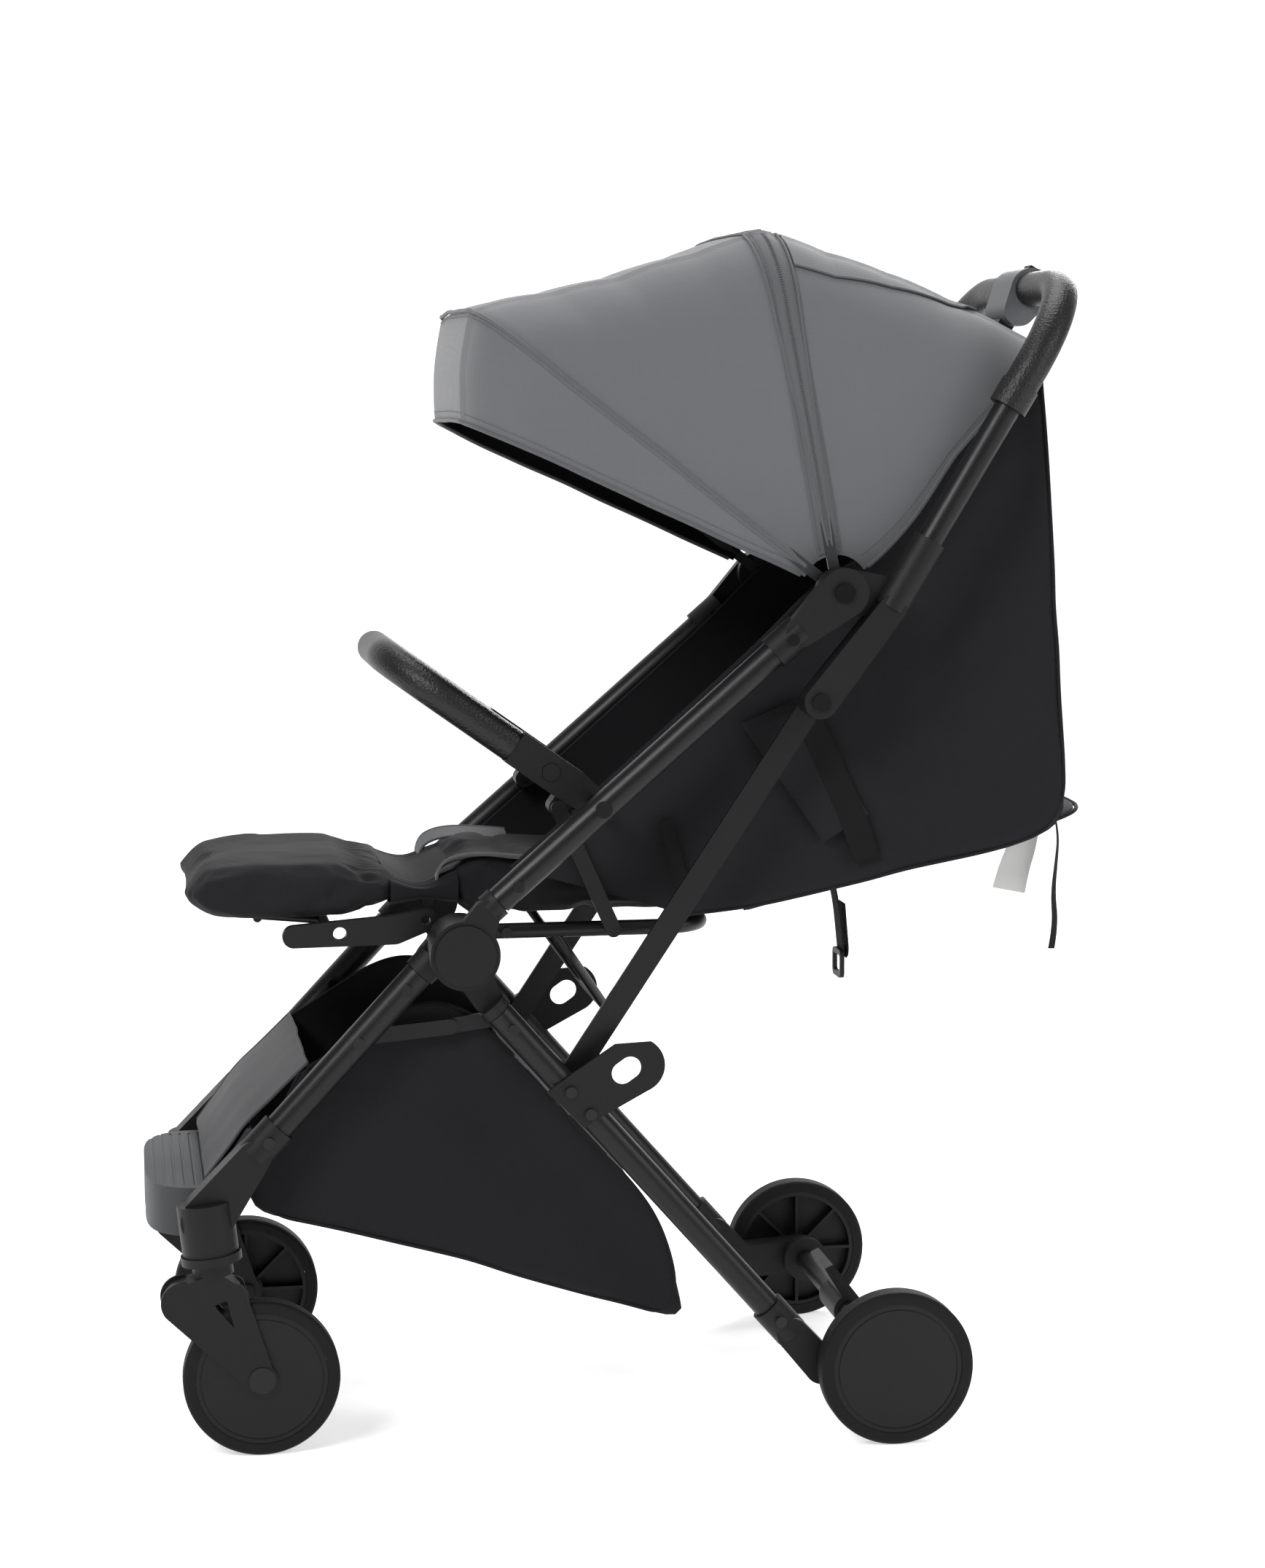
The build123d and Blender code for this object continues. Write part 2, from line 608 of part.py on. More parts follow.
# ---- bumper bar -----------------------------------------------------------------
bar_path = planar_loop(bumper_pivot, bumper_angle, 0, 86, bumper_length, bumper_y, bumper_corner_r)


def on_bumper(along, across=0.0):
    return polar(bumper_pivot, bumper_angle, along, across)


with BuildPart() as bumper_grip:
    loop_bar(bar_path, bumper_grip_r)
finish(bumper_grip, "bumper_grip")

button_at = on_bumper(46)
with BuildPart() as connectors:
    for side_name, s in sides:
        with BuildSketch(slab_plane(s, bumper_y - 14, bumper_y + 14)):
            with BuildLine():
                Polyline(on_bumper(85.7, 16), on_bumper(85.7, -16), on_bumper(20, -16), on_bumper(-8, -12),
                         on_bumper(-8, 12), on_bumper(20, 16), on_bumper(85.7, 16))
            make_face()
        extrude(amount=28)
        lever([bumper_link_top, on_bumper(16)], [8, 14], s, bumper_y - 14, bumper_y + 10)
        side_rod(bumper_pivot, s, 90, 150, 5.1, Mode.SUBTRACT)
        side_rod(bumper_link_top, s, 90, 150, 3.6, Mode.SUBTRACT)
        side_rod(button_at, s, bumper_y + 4, bumper_y + 20, 8.3, Mode.SUBTRACT)
finish(connectors, "bumper_connectors")

for side_name, s in sides:
    with BuildPart() as catch:
        side_rod(button_at, s, bumper_y + 8.5, bumper_y + 15.5, 8)
    finish(catch, f"{side_name}_bumper_button")

with BuildPart() as bumper_links:
    for side_name, s in sides:
        lever([bumper_link_top, seat_link_foot], [7, 7], s, bumper_y + 14.4, bumper_y + 16.8)
        side_rod(bumper_link_top, s, bumper_y - 16, bumper_y + 14.4, 3.5)
finish(bumper_links, "bumper_links")

# ---- knee links -------------------------------------------------------------------
with BuildPart() as knee_front_links:
    for side_name, s in sides:
        lever([knee_front, knee_mid], [7, 7], s, 139.2, 141.7)
        side_rod(knee_front, s, 130, 150, rivet_head_r, Mode.SUBTRACT)
finish(knee_front_links, "knee_front_links")
with BuildPart() as knee_rear_links:
    for side_name, s in sides:
        lever([knee_mid, knee_rear], [7, 7], s, 134.6, 137.1)
        side_rod(knee_rear, s, 137.1, arm_y - arm_r - 1.5, knee_pin_r)
        side_rod(knee_mid, s, 137.1, 139.0, 5)
finish(knee_rear_links, "knee_rear_links")

# ---- canopy -----------------------------------------------------------------------


def bow(angle, reach, inner, corner, foot, thick, width):
    """Flat sprung bow: side arms, round corners and a flat crossbar."""
    axis = Vector(cos(radians(angle)), 0, sin(radians(angle)))
    half = inner + thick
    plane = Plane(origin=spot(handle_pivot), x_dir=(0, 1, 0), z_dir=Vector(0, 1, 0).cross(axis))
    with BuildPart() as strip:
        with BuildSketch(plane.offset(-width / 2)):
            with BuildLine():
                FilletPolyline((-half, 0), (-half, reach), (half, reach), (half, 0), radius=corner)
                Line((half, 0), (-half, 0))
            make_face()
            with BuildLine():
                FilletPolyline((-inner, 0), (-inner, reach - thick), (inner, reach - thick), (inner, 0),
                               radius=corner - thick)
                Line((inner, 0), (-inner, 0))
            make_face(mode=Mode.SUBTRACT)
        extrude(amount=width)
        for side_name, s in sides:
            side_rod(handle_pivot, s, inner, half, foot)
            side_rod(handle_pivot, s, inner - 1, half + 1, 6.3, Mode.SUBTRACT)
    return strip


mid_bow_y = bow_y + bow_thick + run
finish(bow(*front_bow, bow_y, bow_corner_r, 10.5, bow_thick, bow_width), "canopy_front_bow")
finish(bow(*mid_bow, mid_bow_y, bow_corner_r, 10.5, bow_thick, bow_width), "canopy_mid_bow")
slot = 0.4                     # room round each bow in its sleeve of cloth
front_slot = bow(front_bow[0], front_bow[1] + slot, bow_y - slot, bow_corner_r, 12, bow_thick + 2 * slot,
                 bow_width + 2 * slot)
mid_slot = bow(mid_bow[0], mid_bow[1] + slot, mid_bow_y - slot, bow_corner_r, 12, bow_thick + 2 * slot,
               bow_width + 2 * slot)

canopy_half = 165.0
cloth = 3.0
visor_low = (-371.0, 910.0)
with BuildPart() as canopy:
    with BuildSketch(side_plane(canopy_half)):
        with BuildLine():
            Polyline(visor_low, (-362, 1007))
            Spline((-362, 1007), (-232, 1042), (-105, 1078), (10, 1043), (123, 998), (150, 982))
            Polyline((150, 982), (120, 966), (84, 912), (28, 818), (-15, 784), (-40, 796), (-95, 784),
                     (-142, 810), (-238, 862), visor_low)
        make_face()
    extrude(amount=2 * canopy_half)
    with BuildSketch(side_plane(canopy_half - cloth)):
        with BuildLine():
            Polyline((-420, 870), (-366, 1001))
            Spline((-366, 1001), (-232, 1037), (-105, 1073), (10, 1038), (121, 993), (138, 984))
            Polyline((138, 984), (100, 930), (28, 790), (-15, 740), (-142, 740), (-420, 870))
        make_face()
    extrude(amount=2 * (canopy_half - cloth), mode=Mode.SUBTRACT)
    add(front_slot.part, mode=Mode.SUBTRACT)
    add(mid_slot.part, mode=Mode.SUBTRACT)
finish(canopy, "canopy_cloth")

# ---- seat fabric, basket, straps ------------------------------------------------------
shell_half = 136.0
with BuildPart() as backrest:
    with BuildSketch(side_plane(108)):
        with BuildLine():
            Polyline((-152, 488), (176, 566), (168, 598), (-152, 522), (-152, 488))
        make_face()
    extrude(amount=216)
    fillet(edges().filter_by(Axis.Y), 9)
finish(backrest, "backrest_pad")

with BuildPart() as shell:
    with BuildSketch(side_plane(shell_half)):
        with BuildLine():
            Polyline((-335, 540), (-230, 550), (-212, 600), (-120, 745), (-60, 790), (20, 812), (118, 960), (150, 962), (163, 822),
                     (176, 632), (181, 580), (204, 566), (204, 548), (83, 519), (-10, 499), (-133, 475),
                     (-152, 474), (-152, 530), (-335, 530), (-335, 540))
        make_face()
    extrude(amount=2 * shell_half)
    with BuildSketch(side_plane(shell_half - 3)):
        with BuildLine():
            Polyline((-345, 526), (-345, 560), (-120, 800), (20, 900), (110, 990), (146, 960), (159, 822),
                     (172, 632), (178, 572), (196, 556), (83, 524), (-10, 504), (-133, 480), (-160, 476),
                     (-160, 526), (-345, 526))
        make_face()
    extrude(amount=2 * (shell_half - 3), mode=Mode.SUBTRACT)
finish(shell, "seat_shell")

basket_half = 132.0
with BuildPart() as basket:
    with BuildSketch(side_plane(basket_half)):
        with BuildLine():
            Polyline((-576, 246), (-570, 214), (-482, 190), (-408, 170), (-207, 103), (-186, 98), (-176, 108),
                     (-195, 185), (-262, 262), (-330, 345), (-400, 350), (-500, 350), (-528, 340), (-576, 246))
        make_face()
    extrude(amount=2 * basket_half)
    with BuildSketch(side_plane(basket_half - 3)):
        with BuildLine():
            Polyline((-571, 246), (-566, 218), (-482, 194), (-408, 174), (-207, 107), (-188, 103), (-181, 110),
                     (-200, 185), (-266, 262), (-334, 400), (-400, 400), (-500, 400), (-524, 340), (-571, 246))
        make_face()
    extrude(amount=2 * (basket_half - 3), mode=Mode.SUBTRACT)
finish(basket, "basket")

strap_x, strap_y = -27.0, -100.0
with BuildPart() as strap:
    with BuildSketch(Plane.XY.offset(434)):
        with Locations((rear_axle_x + strap_x, strap_y)):
            Rectangle(2, 25)
    extrude(amount=61)
finish(strap, "adjuster_strap")
with BuildPart() as strap_ring:
    with BuildSketch(Plane(origin=spot((strap_x, 0), strap_y), x_dir=(0, 1, 0), z_dir=(1, 0, 0)).offset(-2)):
        with Locations((0, 420)):
            RectangleRounded(34, 26, 6)
            RectangleRounded(26, 16, 3, mode=Mode.SUBTRACT)
    extrude(amount=4)
finish(strap_ring, "strap_ring")
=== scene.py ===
import json
import math
import bpy
import bmesh
from mathutils import Matrix, Vector, noise


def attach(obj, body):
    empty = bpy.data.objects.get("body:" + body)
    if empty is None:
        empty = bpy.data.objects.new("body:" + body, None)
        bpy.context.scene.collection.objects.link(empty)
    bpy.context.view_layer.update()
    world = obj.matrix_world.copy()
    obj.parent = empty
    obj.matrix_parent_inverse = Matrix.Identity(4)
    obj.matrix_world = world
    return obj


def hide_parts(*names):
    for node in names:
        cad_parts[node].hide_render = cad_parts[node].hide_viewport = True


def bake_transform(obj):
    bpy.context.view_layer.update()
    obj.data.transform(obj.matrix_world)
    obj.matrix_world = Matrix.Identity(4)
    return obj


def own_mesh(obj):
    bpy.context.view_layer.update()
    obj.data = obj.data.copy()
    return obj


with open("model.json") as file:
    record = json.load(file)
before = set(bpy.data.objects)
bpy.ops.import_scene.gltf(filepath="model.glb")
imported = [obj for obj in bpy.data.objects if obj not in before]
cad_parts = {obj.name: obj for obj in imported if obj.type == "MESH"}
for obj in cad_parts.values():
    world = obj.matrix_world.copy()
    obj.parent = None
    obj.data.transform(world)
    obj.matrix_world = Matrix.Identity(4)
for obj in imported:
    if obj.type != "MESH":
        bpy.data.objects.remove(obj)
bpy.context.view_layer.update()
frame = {"nodes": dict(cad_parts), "record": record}
jointPlace = {j["name"]: Vector(j["pos_m"]) for j in frame["record"]["behaviour"]["joints"] if "pos_m" in j}
rearAxle = jointPlace["brake"]
pivot = jointPlace["handle_fold"]
print("frame loaded", len(frame["nodes"]), "nodes")

# ---- small helpers
mm = 0.001
sides = (("left", -1), ("right", 1))


def at(x, z, y=0.0):     # millimetres behind the rear axle, height, and across
    return Vector((rearAxle.x + x * mm, y * mm, z * mm))


def fan(angle, reach, y=0.0):     # a place seen from the handle pivot, in millimetres
    a = math.radians(angle)
    return Vector((pivot.x + reach * math.cos(a) * mm, y * mm, pivot.z + reach * math.sin(a) * mm))


def smooth(obj, angle=40):
    for poly in obj.data.polygons:
        poly.use_smooth = True
    obj.data.set_sharp_from_angle(angle=math.radians(angle))


def addMesh(name, verts, faces, material, uvs=None):
    mesh = bpy.data.meshes.new(name)
    mesh.from_pydata([tuple(v) for v in verts], [], faces)
    if uvs:
        layer = mesh.uv_layers.new(name="UVMap")
        for loop in mesh.loops:
            layer.data[loop.index].uv = uvs[loop.vertex_index]
    obj = bpy.data.objects.new(name, mesh)
    bpy.context.collection.objects.link(obj)
    mesh.materials.append(material)
    return obj


def gridSheet(name, rows, material, closed=False):
    count = len(rows[0])
    verts = [p for row in rows for p in row]
    faces = []
    for i in range(len(rows) - 1):
        for j in range(count - (0 if closed else 1)):
            k = (j + 1) % count
            faces.append((i * count + j, i * count + k, (i + 1) * count + k, (i + 1) * count + j))
    obj = addMesh(name, verts, faces, material)
    smooth(obj, 60)
    return obj


def modify(obj, kind, **settings):
    mod = obj.modifiers.new(kind.title(), kind)
    for key, value in settings.items():
        setattr(mod, key, value)
    return mod


def bake(obj):     # turns live modifiers into plain mesh
    graph = bpy.context.evaluated_depsgraph_get()
    mesh = bpy.data.meshes.new_from_object(obj.evaluated_get(graph))
    obj.modifiers.clear()
    obj.data = mesh
    return obj


def along(points, t):     # a place on a polyline, t from 0 to 1
    lengths = [(b - a).length for a, b in zip(points, points[1:])]
    goal = t * sum(lengths)
    for a, b, size in zip(points, points[1:], lengths):
        if goal <= size or b is points[-1]:
            return a.lerp(b, min(1, goal / max(size, 1e-9)))
        goal -= size


def curvePoints(points, steps, order=3):     # smooth line through given control points
    data = bpy.data.curves.new("line", "CURVE")
    data.dimensions = "3D"
    spline = data.splines.new("NURBS")
    spline.points.add(len(points) - 1)
    for target, p in zip(spline.points, points):
        target.co = (*p, 1)
    spline.order_u = order
    spline.use_endpoint_u = True
    spline.resolution_u = 12
    obj = bpy.data.objects.new("line", data)
    mesh = bpy.data.meshes.new_from_object(obj)
    found = [v.co.copy() for v in mesh.vertices]
    bpy.data.objects.remove(obj)
    return [along(found, i / (steps - 1)) for i in range(steps)]


def tubeAlong(name, points, radius, material, segments=10):
    rows = []
    side = Vector((0.13, 0.77, 0.31)).normalized()
    for i, p in enumerate(points):
        ahead = points[min(i + 1, len(points) - 1)] - points[max(i - 1, 0)]
        ahead.normalize()
        side = (side - ahead * side.dot(ahead)).normalized()
        up = ahead.cross(side)
        rows.append([p + (side * math.cos(t) + up * math.sin(t)) * radius
                     for t in (2 * math.pi * k / segments for k in range(segments))])
    obj = gridSheet(name, rows, material, closed=True)
    mesh = bmesh.new()
    mesh.from_mesh(obj.data)
    mesh.verts.ensure_lookup_table()
    last = len(rows) * segments
    mesh.faces.new([mesh.verts[k] for k in range(segments)][::-1])
    mesh.faces.new([mesh.verts[last - segments + k] for k in range(segments)])
    bmesh.ops.recalc_face_normals(mesh, faces=mesh.faces)
    mesh.to_mesh(obj.data)
    mesh.free()
    smooth(obj, 60)
    return obj


def wrinkle(p, size, amount, seed=0.0):
    return noise.noise(Vector((p.x / size + seed, p.y / size, p.z / size))) * amount


# ---- materials
def material(name, color, rough, bump, scale, pattern="grain", metal=0.0, sheen=0.0, vary=0.25, spec=0.5):
    mat = bpy.data.materials.new(name)
    mat.use_nodes = True
    tree = mat.node_tree
    shader = tree.nodes["Principled BSDF"]
    shader.inputs["Metallic"].default_value = metal
    shader.inputs["Sheen Weight"].default_value = sheen
    shader.inputs["Sheen Roughness"].default_value = 0.5
    shader.inputs["Specular IOR Level"].default_value = spec
    place = tree.nodes.new("ShaderNodeTexCoord")
    soft = tree.nodes.new("ShaderNodeTexNoise")
    soft.inputs["Scale"].default_value = 9.0
    soft.inputs["Detail"].default_value = 5.0
    tree.links.new(place.outputs["Object"], soft.inputs["Vector"])
    tint = tree.nodes.new("ShaderNodeMix")
    tint.data_type = "RGBA"
    tint.inputs["A"].default_value = (*[c * (1 - vary) for c in color], 1)
    tint.inputs["B"].default_value = (*[min(1, c * (1 + vary)) for c in color], 1)
    tree.links.new(soft.outputs["Fac"], tint.inputs["Factor"])
    if pattern == "weave":
        heights = []
        for axis in ("X", "Z"):
            wave = tree.nodes.new("ShaderNodeTexWave")
            wave.bands_direction = axis
            wave.inputs["Scale"].default_value = scale
            wave.inputs["Distortion"].default_value = 1.2
            wave.inputs["Detail"].default_value = 1.0
            tree.links.new(place.outputs["Object"], wave.inputs["Vector"])
            heights.append(wave)
        join = tree.nodes.new("ShaderNodeMath")
        join.operation = "MULTIPLY"
        tree.links.new(heights[0].outputs["Fac"], join.inputs[0])
        tree.links.new(heights[1].outputs["Fac"], join.inputs[1])
        height = join.outputs[0]
    elif pattern == "pebble":
        cells = tree.nodes.new("ShaderNodeTexVoronoi")
        cells.feature = "SMOOTH_F1"
        cells.inputs["Scale"].default_value = scale
        tree.links.new(place.outputs["Object"], cells.inputs["Vector"])
        height = cells.outputs["Distance"]
    else:
        fine = tree.nodes.new("ShaderNodeTexNoise")
        fine.inputs["Scale"].default_value = scale
        fine.inputs["Detail"].default_value = 8.0
        tree.links.new(place.outputs["Object"], fine.inputs["Vector"])
        height = fine.outputs["Fac"]
    shade = tree.nodes.new("ShaderNodeMix")
    shade.data_type = "RGBA"
    shade.blend_type = "MULTIPLY"
    shade.inputs["Factor"].default_value = 0.3
    tree.links.new(tint.outputs["Result"], shade.inputs["A"])
    tree.links.new(height, shade.inputs["B"])
    tree.links.new(shade.outputs["Result"], shader.inputs["Base Color"])
    rough1 = tree.nodes.new("ShaderNodeMapRange")
    rough1.inputs["To Min"].default_value = max(0.05, rough - 0.08)
    rough1.inputs["To Max"].default_value = min(1.0, rough + 0.08)
    tree.links.new(soft.outputs["Fac"], rough1.inputs["Value"])
    tree.links.new(rough1.outputs["Result"], shader.inputs["Roughness"])
    relief = tree.nodes.new("ShaderNodeBump")
    relief.inputs["Strength"].default_value = bump
    relief.inputs["Distance"].default_value = 0.0006
    tree.links.new(height, relief.inputs["Height"])
    tree.links.new(relief.outputs["Normal"], shader.inputs["Normal"])
    return mat


finishes = {
    "powderBlack": material("powderBlack", (0.006, 0.006, 0.007), 0.36, 0.25, 900, spec=0.28),
    "mouldedBlack": material("mouldedBlack", (0.007, 0.007, 0.008), 0.48, 0.5, 1100, spec=0.24),
    "wheelBlack": material("wheelBlack", (0.007, 0.007, 0.008), 0.46, 0.3, 700, spec=0.24),
    "foamTyre": material("foamTyre", (0.009, 0.009, 0.010), 0.68, 0.5, 1400, spec=0.16),
    "glossBlack": material("glossBlack", (0.005, 0.005, 0.006), 0.2, 0.05, 300, spec=0.28),
    "pebbleLeather": material("pebbleLeather", (0.008, 0.008, 0.009), 0.42, 0.9, 520, "pebble", spec=0.36),
    "greyPlastic": material("greyPlastic", (0.10, 0.104, 0.112), 0.55, 0.4, 900),
    "canopyGrey": material("canopyGrey", (0.135, 0.138, 0.147), 0.85, 0.35, 330, "weave", sheen=0.25, vary=0.08),
    "panelGrey": material("panelGrey", (0.06, 0.061, 0.066), 0.85, 0.35, 330, "weave", sheen=0.1, vary=0.1),
    "footGrey": material("footGrey", (0.052, 0.054, 0.058), 0.55, 0.4, 900, spec=0.3),
    "seamGrey": material("seamGrey", (0.105, 0.107, 0.114), 0.85, 0.35, 330, "weave", sheen=0.2, vary=0.08),
    "clothBlack": material("clothBlack", (0.0125, 0.0125, 0.0145), 0.8, 0.4, 330, "weave", sheen=0.03, vary=0.15,
                           spec=0.16),
    "liningBlack": material("liningBlack", (0.006, 0.006, 0.007), 0.85, 0.4, 330, "weave", spec=0.1),
    "webbing": material("webbing", (0.010, 0.010, 0.011), 0.8, 0.8, 700, "weave", spec=0.18),
    "darkSteel": material("darkSteel", (0.10, 0.10, 0.105), 0.35, 0.1, 400, metal=1.0),
    "whiteTag": material("whiteTag", (0.62, 0.62, 0.61), 0.7, 0.3, 500, "weave", vary=0.05),
}
nodeFinish = {
    "pebbleLeather": ("handle_grip", "bumper_grip"),
    "greyPlastic": ("release_housing",),
    "footGrey": ("footboard",),
    "foamTyre": ("left_front_tyre", "right_front_tyre", "left_rear_tyre", "right_rear_tyre"),
    "wheelBlack": ("left_front_wheel", "right_front_wheel", "left_rear_wheel", "right_rear_wheel"),
    "glossBlack": ("front_rivets", "rear_rivets", "upper_rivets", "handle_bolts", "left_castor_bolt",
                   "right_castor_bolt"),
    "darkSteel": ("canopy_front_bow", "canopy_mid_bow"),
    "mouldedBlack": ("front_castings", "front_hub_sockets", "rear_hub_sockets", "rear_castings",
                     "upper_hub_sockets", "handle_sockets", "handle_castings", "hub_caps", "bumper_connectors",
                     "left_bumper_button", "right_bumper_button", "brake_pedal", "left_castor_fork",
                     "right_castor_fork", "safety_button", "release_trigger", "strap_ring", "lock_plates"),
}
for name, node in frame["nodes"].items():
    chosen = next((key for key, names in nodeFinish.items() if name in names), "powderBlack")
    node.data.materials.clear()
    node.data.materials.append(finishes[chosen])
print("materials made", len(finishes))

# ---- camera, floor and light
view = {"place": (-0.46335, -3.06981, 0.92623), "yaw": 0.159, "pitch": 0.1115, "roll": -0.0033, "lens": 76.37}


def addCamera(v):
    forward = Vector((math.sin(v["yaw"]) * math.cos(v["pitch"]), math.cos(v["yaw"]) * math.cos(v["pitch"]),
                      -math.sin(v["pitch"])))
    right = Vector((math.cos(v["yaw"]), -math.sin(v["yaw"]), 0))
    up = right.cross(forward)
    c, s = math.cos(v["roll"]), math.sin(v["roll"])
    right, up = c * right + s * up, -s * right + c * up
    data = bpy.data.cameras.new("camera")
    data.lens = v["lens"]
    data.sensor_width = 36
    camera = bpy.data.objects.new("camera", data)
    bpy.context.collection.objects.link(camera)
    turn = Matrix((right, up, -forward)).transposed().to_4x4()
    camera.matrix_world = Matrix.Translation(v["place"]) @ turn
    bpy.context.scene.camera = camera


addCamera(view)
floorMat = material("floorWhite", (0.9, 0.9, 0.9), 0.7, 0.02, 40, vary=0.005, spec=0.1)
glow = {"color": (1, 1, 1, 1), "strength": 0.55}
floorMat.node_tree.nodes["Principled BSDF"].inputs["Emission Color"].default_value = glow["color"]
floorMat.node_tree.nodes["Principled BSDF"].inputs["Emission Strength"].default_value = glow["strength"]
sweep = [(-5, 0), (2.4, 0)]
sweep += [(2.4 + 1.6 * math.sin(math.radians(a)), 1.6 - 1.6 * math.cos(math.radians(a))) for a in range(6, 91, 6)]
sweep += [(4.0, 5.0)]
floor = gridSheet("floor", [[Vector((x, y, z)) for y, z in sweep] for x in (-6, 0, 6)], floorMat)
world = bpy.data.worlds.new("studio")
world.use_nodes = True
world.node_tree.nodes["Background"].inputs[0].default_value = (1, 1, 1, 1)
world.node_tree.nodes["Background"].inputs[1].default_value = 0.3
bpy.context.scene.world = world
bpy.context.scene.view_settings.view_transform = "Standard"
lamps = {"key": ((-1.9, -2.3, 2.6), 1.1, 78), "fill": ((2.3, -1.9, 1.5), 1.4, 24), "top": ((0.3, 0.5, 3.2), 2.0, 60),
         "back": ((1.4, 2.3, 1.9), 1.2, 46)}
for name, (place, size, power) in lamps.items():
    lamp = bpy.data.lights.new(name, "AREA")
    lamp.size = size
    lamp.energy = power
    holder = bpy.data.objects.new(name, lamp)
    holder.location = place
    holder.rotation_euler = (Vector((0, 0, 0.5)) - Vector(place)).to_track_quat("-Z", "Y").to_euler()
    bpy.context.collection.objects.link(holder)
print("camera, floor and light set")

# ---- rows of small repeated parts, made with geometry nodes


def rowNodes():
    tree = bpy.data.node_groups.new("rowOfParts", "GeometryNodeTree")
    for name, kind in (("Line", "NodeSocketGeometry"), ("Part", "NodeSocketObject"), ("Spacing", "NodeSocketFloat"),
                       ("Finish", "NodeSocketMaterial")):
        tree.interface.new_socket(name, in_out="INPUT", socket_type=kind)
    tree.interface.new_socket("Row", in_out="OUTPUT", socket_type="NodeSocketGeometry")
    make = tree.nodes.new
    source, result = make("NodeGroupInput"), make("NodeGroupOutput")
    curve, spread = make("GeometryNodeMeshToCurve"), make("GeometryNodeResampleCurve")
    spread.mode = "LENGTH"
    placed, part = make("GeometryNodeInstanceOnPoints"), make("GeometryNodeObjectInfo")
    tangent, turn = make("GeometryNodeInputTangent"), make("FunctionNodeAlignRotationToVector")
    turn.axis = "X"
    solid, finish = make("GeometryNodeRealizeInstances"), make("GeometryNodeSetMaterial")
    for a, b in ((source.outputs["Line"], curve.inputs["Mesh"]), (curve.outputs[0], spread.inputs["Curve"]),
                 (source.outputs["Spacing"], spread.inputs["Length"]), (spread.outputs[0], placed.inputs["Points"]),
                 (source.outputs["Part"], part.inputs["Object"]),
                 (part.outputs["Geometry"], placed.inputs["Instance"]), (tangent.outputs[0], turn.inputs["Vector"]),
                 (turn.outputs[0], placed.inputs["Rotation"]), (placed.outputs[0], solid.inputs[0]),
                 (solid.outputs[0], finish.inputs["Geometry"]), (source.outputs["Finish"], finish.inputs["Material"]),
                 (finish.outputs[0], result.inputs[0])):
        tree.links.new(a, b)
    return tree


rowTree = rowNodes()
rowInputs = {item.name: item.identifier for item in rowTree.interface.items_tree if item.in_out == "INPUT"}


stitchStep = 3.6 * mm


def partRow(name, points, size, spacing, mat):     # stitches, zip teeth or ribs along a line
    bpy.ops.mesh.primitive_cube_add(size=1)
    unit = bpy.context.object
    unit.data.transform(Matrix.Diagonal((*size, 1)))
    modify(unit, "BEVEL", width=min(size) * 0.35, segments=2)
    bake(unit)
    mesh = bpy.data.meshes.new(name)
    mesh.from_pydata([tuple(p) for p in points], [(i, i + 1) for i in range(len(points) - 1)], [])
    row = bpy.data.objects.new(name, mesh)
    bpy.context.collection.objects.link(row)
    mod = modify(row, "NODES", node_group=rowTree)
    mod[rowInputs["Part"]] = unit
    mod[rowInputs["Spacing"]] = spacing
    mod[rowInputs["Finish"]] = mat
    bake(row)
    bpy.data.objects.remove(unit)
    smooth(row, 50)
    return row


# ---- canopy: one sheet fanned round the handle pivot over its bows
canopy = {"reach": ((155.3, 360), (149, 382), (142.2, 404), (133, 360), (124, 333), (112, 320), (100.8, 322.5),
                    (90, 297), (78.8, 284), (66, 279), (54.2, 287), (48, 294)),
          "half": ((155.3, 173), (149, 175), (142.2, 178), (133, 173), (124, 171.5), (112, 173), (100.8, 178),
                   (90, 173), (78, 171), (60, 169), (48, 167)),
          "corner": 62, "foot": 32, "gather": 4, "front": 155.3, "ridge": 142.2, "middle": 100.8, "rear": 48.0}


def table(pairs, a):
    if a >= pairs[0][0]:
        return pairs[0][1]
    for (a1, v1), (a2, v2) in zip(pairs, pairs[1:]):
        if a >= a2:
            f = (a1 - a) / (a1 - a2)
            return v1 + (v2 - v1) * f
    return pairs[-1][1]


def canopyPoint(a, t, lift=0.0):     # t runs over the hoop from the left foot to the right one
    reach, half = table(canopy["reach"], a) + lift, table(canopy["half"], a) + lift
    corner, foot = canopy["corner"], canopy["foot"]
    arm, arc, bar = reach - corner - foot, corner * math.pi / 2, 2 * (half - corner)
    total = 2 * arm + 2 * arc + bar
    d = min(t, 1 - t) * total
    if d < arm:
        r, y = foot + d, half
    elif d < arm + arc:
        turn = (d - arm) / corner
        r, y = reach - corner + corner * math.sin(turn), half - corner + corner * math.cos(turn)
    else:
        r, y = reach, half - corner - (d - arm - arc)
    near = max(0.0, 1 - (r - foot) / 90)
    side = -1 if t < 0.5 else 1
    swing = a
    if a < 60:     # rear edge bows in towards the hub
        swing = a - (60 - a) / 12 * 13 * max(0.0, 1 - (r - foot) / 130) ** 1.3
    crown = 5 * max(0.0, 1 - (y / half) ** 2) if r >= reach - 0.5 else 0
    p = fan(swing, r + crown, side * (y - canopy["gather"] * near * near))
    p.y += wrinkle(p, 0.045, 0.0013, 3) * (1 if abs(y) > half - corner else 0.3)
    p.z += wrinkle(p, 0.06, 0.0012, 9)
    return p


